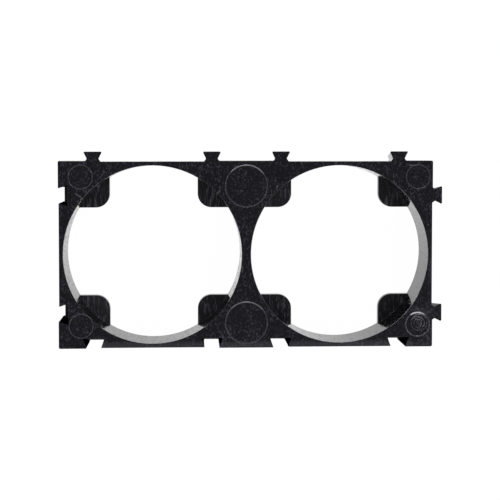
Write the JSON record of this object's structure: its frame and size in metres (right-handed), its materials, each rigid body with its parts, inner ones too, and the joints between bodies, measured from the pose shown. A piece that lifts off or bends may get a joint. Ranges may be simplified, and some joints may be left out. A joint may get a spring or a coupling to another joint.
{
  "type": "battery cell holder bracket",
  "caption": "Moulded spacer bracket that holds the ends of two round battery cells side by side, with dovetail tongues and sockets to join brackets into a pack.",
  "frame": {"origin": "middle of the web between the two bores, on the lip face that the bracket lies on", "axes": "+X along the pair of cells towards the two end tongues, +Y towards the row of four tongues, +Z along the cell axes from the lip face to the face where the cells enter"},
  "size_m": [0.0707, 0.0362, 0.008],
  "materials": {
    "black_abs": "fine matte moulded texture"
  },
  "bodies": {
    "root": {"holder_bracket": "black_abs"}
  },
  "joints": []
}
